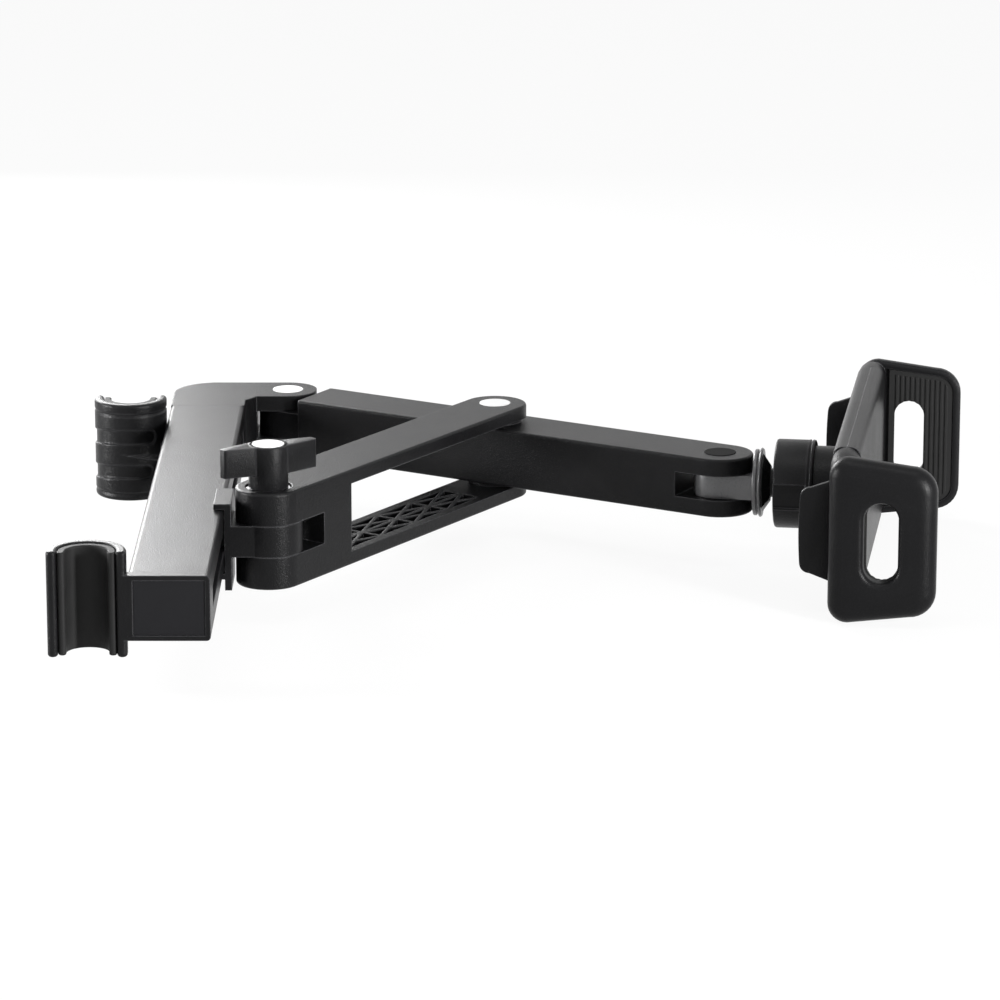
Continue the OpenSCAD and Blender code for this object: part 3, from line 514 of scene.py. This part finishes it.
def ring_nut():
    """The lock nut: a turned ring with three wide flat-bottomed grips and a plain band behind them."""
    grip_half, grip_deep, grip_end = 4.1, 1.0, 3.2
    mouth_r, rim_r, bore_r, shoulder = 7.9, 10.3, 12.15, -5.2
    groove = 0.35
    edge = math.degrees(math.asin(grip_half / NUT_R))
    angles = []
    for first in (185, 305, 425):
        inside = [first - edge + 2 * edge * i / 8 for i in range(9)]
        outside = [first + edge + 0.6 + (120 - 2 * edge - 1.2) * i / 24 for i in range(25)]
        angles += [(a, True) for a in inside] + [(a, False) for a in outside]
    stations = [(mouth_r, shoulder), (rim_r, NUT_FRONT), (NUT_R - 0.9, NUT_FRONT)]
    stations += [(NUT_R - 0.25, NUT_FRONT + 0.25), (NUT_R, NUT_FRONT + 0.9)]
    stations += [(NUT_R - deep, grip_end + past) for deep, past in (
        (0, -0.3), (0.01, 0), (0, 0.02), (0, 0.5), (groove, 0.7), (groove, 1.0), (0, 1.2)
    )]
    stations += [(NUT_R, NUT_FAR - 0.7), (NUT_R - 0.2, NUT_FAR - 0.2), (NUT_R - 0.7, NUT_FAR)]
    stations += [(bore_r, NUT_FAR), (bore_r, shoulder)]
    rings = []
    for r, z in stations:
        ring = []
        for angle, gripped in angles:
            reach = min(r, NUT_R - grip_deep) if gripped and z < grip_end - 0.1 else r
            a = math.radians(angle + 90)
            ring.append((BALL_AT + z, reach * math.sin(a), -reach * math.cos(a)))
        rings.append(ring)
    piece = mesh_piece("lock_nut_ring", [joined(rings, closed=True)], in_wrist, "moulded_black")
    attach(piece, "lock_nut")
    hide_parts("lock_nut")


def tapered_wing(turn):
    """One wing of the knob, wide at the hub and narrow at its round end."""
    front_root, back_root, tip_r = (4.0, -3.1), (2.4, 4.6), 1.0
    outline = [front_root] + arc(13.1, 6.7, tip_r, -43, 27, 5) + arc(12.3, 7.4, tip_r, 27, 111, 5)
    outline += [back_root] + arc(0, 0, KNOB_R - 0.9, 60, -36)
    c, s = math.cos(math.radians(turn)), math.sin(math.radians(turn))
    outline = [(c * x - s * y, s * x + c * y) for x, y in outline]
    return rounded_prism(outline, KNOB_TOP - WING_H, KNOB_TOP, 0.4)


def winged_knob():
    """The wing knob: a round hub with a seat for its cap, and two wings."""
    bore_r, seat_r, seat_floor = 3.0, 4.86, KNOB_TOP - 1.1
    hub = turned([
        (bore_r, KNOB_FOOT), (KNOB_R - 0.4, KNOB_FOOT), (KNOB_R - 0.1, KNOB_FOOT + 0.15),
        (KNOB_R, KNOB_FOOT + 0.5), (KNOB_R, KNOB_TOP - 0.6), (KNOB_R - 0.1, KNOB_TOP - 0.2),
        (KNOB_R - 0.4, KNOB_TOP), (seat_r, KNOB_TOP), (seat_r, seat_floor), (bore_r, seat_floor),
    ])
    wings = [tapered_wing(0), tapered_wing(180)]
    piece = mesh_piece("winged_knob", [hub, *wings], about(KNOB), "moulded_black")
    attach(piece, "knob")
    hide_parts("wing_knob")


def grip_depth(angle, up):
    """How deep the far hook's face is cut: two grip bands and two grooves, less a raised wedge."""
    bands = ((2.65, 7.7, 9.8), (-8.6, -3.7, 8.6))
    band_deep, band_slope, bow = 0.55, 0.45, 1.8
    grooves, groove_half, groove_deep = (12.3, -13.6), 0.6, 0.3
    wedge_start, wedge_run, wedge_end = -4.6, 14.4, 11.0
    step = 0.3
    along = HOOK_OUT * math.radians(angle)
    level = up + bow * (1 - math.cos(math.radians(angle)))
    sunk = 0.0
    for low, high, end in bands:
        half, mid = (high - low) / 2, (high + low) / 2
        past = max(0.0, along - (end - half))
        sunk = max(sunk, band_deep * unit((half - math.hypot(past, level - mid)) / band_slope))
    for groove in grooves:
        sunk = max(sunk, groove_deep * unit((groove_half - abs(up - groove)) / step))
    grown = unit((along - wedge_start) / wedge_run)
    wedge_top, wedge_foot = -0.3 - 0.5 * grown, -0.3 - 2.3 * grown
    inside = min(wedge_top - level, level - wedge_foot)
    raised = grown * unit(inside / step) * unit((wedge_end - along) / step)
    return sunk - raised


def hook_section(angle, thick):
    """The hook's wall, cut at an angle from its front, as (offset from its middle, height)."""
    flat = HOOK_HALF - HOOK_ROUND
    rows = [-flat + 2 * flat * i / 110 for i in range(111)]
    bend = quarter(4)

    def corner(side, up, s, c):
        off = thick * (HOOK_WALL / 2 - HOOK_ROUND * (1 - c))
        return side * off, up * (HOOK_HALF - HOOK_ROUND * (1 - s))

    section = [(thick * (HOOK_WALL / 2 - grip_depth(angle, z)), z) for z in rows]
    section += [corner(1, 1, s, c) for s, c in bend[1:]]
    section += [corner(-1, 1, s, c) for s, c in reversed(bend)]
    section += [corner(-1, -1, s, c) for s, c in bend]
    section += [corner(1, -1, s, c) for s, c in reversed(bend[1:])]
    return section


def banded_hook():
    """The far hook's shell: a C whose open side faces away, with its finger grips in front."""
    tip = [(HOOK_LEG + HOOK_WALL / 2 * c, max(0.04, s)) for s, c in quarter(6)]
    stations = [(90, reach, thick) for reach, thick in tip]
    stations += [(90 - 1.5 * i, 0.0, 1.0) for i in range(121)]
    stations += [(-90, reach, thick) for reach, thick in reversed(tip)]
    middle_r = (HOOK_OUT + HOOK_IN) / 2
    rings = []
    for angle, reach, thick in stations:
        a = math.radians(angle)
        x, y = math.sin(a), -math.cos(a)
        section = hook_section(angle, thick)
        rings.append([(x * (middle_r + off), y * (middle_r + off) + reach, z) for off, z in section])
    left, right, near, far = 9.1, 18.8, -6.0, 2.0
    plan = [(left, near), (right, near), (right, far), (left, far)]
    tenon = rounded_prism(plan, BAR_LEVEL - TENON_HALF, BAR_LEVEL + TENON_HALF, 0.2)
    shell = joined(rings)
    piece = mesh_piece("banded_hook", [shell, tenon], about(FAR_POST), "moulded_black", sharp=40)
    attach(piece, "post_clamp")
    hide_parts("far_hook")


def grooved_swivel():
    """The wrist's swivel: a flat tongue with a round end, and a flange with a groove round its rim."""
    bore_r, root = 3.0, FLANGE_FROM + 0.6
    plan = [(root, -TONGUE_HALF_W), (root, TONGUE_HALF_W)] + arc(0, 0, TONGUE_HALF_W, 90, 270, 32)
    tongue = rounded_prism(plan, -TONGUE_HALF_H, TONGUE_HALF_H, 0.3)
    points, faces = turned([
        (bore_r, FLANGE_FROM), (9.6, FLANGE_FROM), (10.2, 10.95), (10.4, 11.2), (10.4, 12.0),
        (9.9, 12.2), (9.9, 12.45), (10.55, 12.65), (10.85, 12.95), (10.85, 13.2),
        (10.5, FLANGE_TO), (bore_r, FLANGE_TO),
    ])
    flange = [(z, y, -x) for x, y, z in points], faces
    piece = mesh_piece("grooved_swivel", [tongue, flange], in_wrist, "satin_swivel")
    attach(piece, "swivel")
    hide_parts("wrist_swivel")


moulded_jaw("near_jaw", -1)
moulded_jaw("far_jaw", 1)
ring_nut()
winged_knob()
banded_hook()
grooved_swivel()


def stage_plane(name, corners, material):
    """A flat part of the studio."""
    mesh = bpy.data.meshes.new(name)
    mesh.from_pydata([Vector(c) for c in corners], [], [tuple(range(len(corners)))])
    mesh.materials.append(material)
    plane = bpy.data.objects.new(name, mesh)
    bpy.context.scene.collection.objects.link(plane)


def studio_floor():
    """A pale floor that keeps a soft shadow and is seen, also in gloss, as white paper."""
    material, shader = new_finish("paper_floor")
    lit = shader.node("ShaderNodeBsdfDiffuse", {}, {"Color": (0.88, 0.88, 0.88)})
    white = shader.node("ShaderNodeEmission", {}, {"Color": (1, 1, 1), "Strength": 1.0})
    whiteness = shader.seen() * 0.9
    mixed = shader.node("ShaderNodeMixShader", {}, {0: whiteness, 1: lit, 2: white})
    shader.node("ShaderNodeOutputMaterial", {}, {"Surface": mixed}, None)
    low = cad_box[0][2] - 0.5 * MM
    half = 4.0
    corners = [(-half, -half, low), (half, -half, low), (half, half, low), (-half, half, low)]
    stage_plane("floor", corners, material)


def studio_world():
    """Even soft light, and white wherever the camera or gloss looks past the object."""
    world = bpy.data.worlds.new("studio")
    bpy.context.scene.world = world
    shader = Shader(world)
    light = shader.node("ShaderNodeBackground", {}, {"Color": (1, 1, 1), "Strength": 0.4})
    white = shader.node("ShaderNodeBackground", {}, {"Color": (1, 1, 1), "Strength": 1.0})
    mixed = shader.node("ShaderNodeMixShader", {}, {0: shader.seen(), 1: light, 2: white})
    shader.node("ShaderNodeOutputWorld", {}, {"Surface": mixed}, None)


def softbox(name, place, aim, width, height, glow):
    """A soft rectangular lamp. Its glow is how bright its face is, where 1 is white."""
    lamp = bpy.data.lights.new(name, "AREA")
    lamp.shape = "RECTANGLE"
    lamp.size = width
    lamp.size_y = height
    lamp.energy = glow * math.pi * width * height
    light = bpy.data.objects.new(name, lamp)
    light.location = place
    light.rotation_euler = (Vector(aim) - Vector(place)).to_track_quat("-Z", "Y").to_euler()
    light.visible_camera = False
    bpy.context.scene.collection.objects.link(light)


middle = (0.12, 0.1, 0.0)
studio_floor()
studio_world()
softbox("top_softbox", (-0.3, 0.4, 1.6), middle, width=1.4, height=1.0, glow=0.6)
softbox("back_softbox", (-0.25, 0.7, 0.3), (-0.25, -0.3, 0.1), width=0.4, height=0.38, glow=17)
softbox("left_softbox", (-0.8, 0.05, 0.12), middle, width=0.16, height=0.28, glow=90)
softbox("right_strip", (0.66, -0.42, 0.12), middle, width=0.08, height=0.28, glow=130)
softbox("overhead_strip", (0.1, -0.25, 1.45), middle, width=1.2, height=0.12, glow=10)

lens = bpy.data.cameras.new("camera")
lens.lens = 183.6
lens.sensor_width = 36
lens.clip_start = 0.05
camera = bpy.data.objects.new("camera", lens)
camera.location = (0.1184, -1.4048, 0.40685)
camera.rotation_euler = (math.radians(75), 0, 0)
bpy.context.scene.collection.objects.link(camera)
bpy.context.scene.camera = camera
bpy.context.scene.view_settings.view_transform = "Standard"
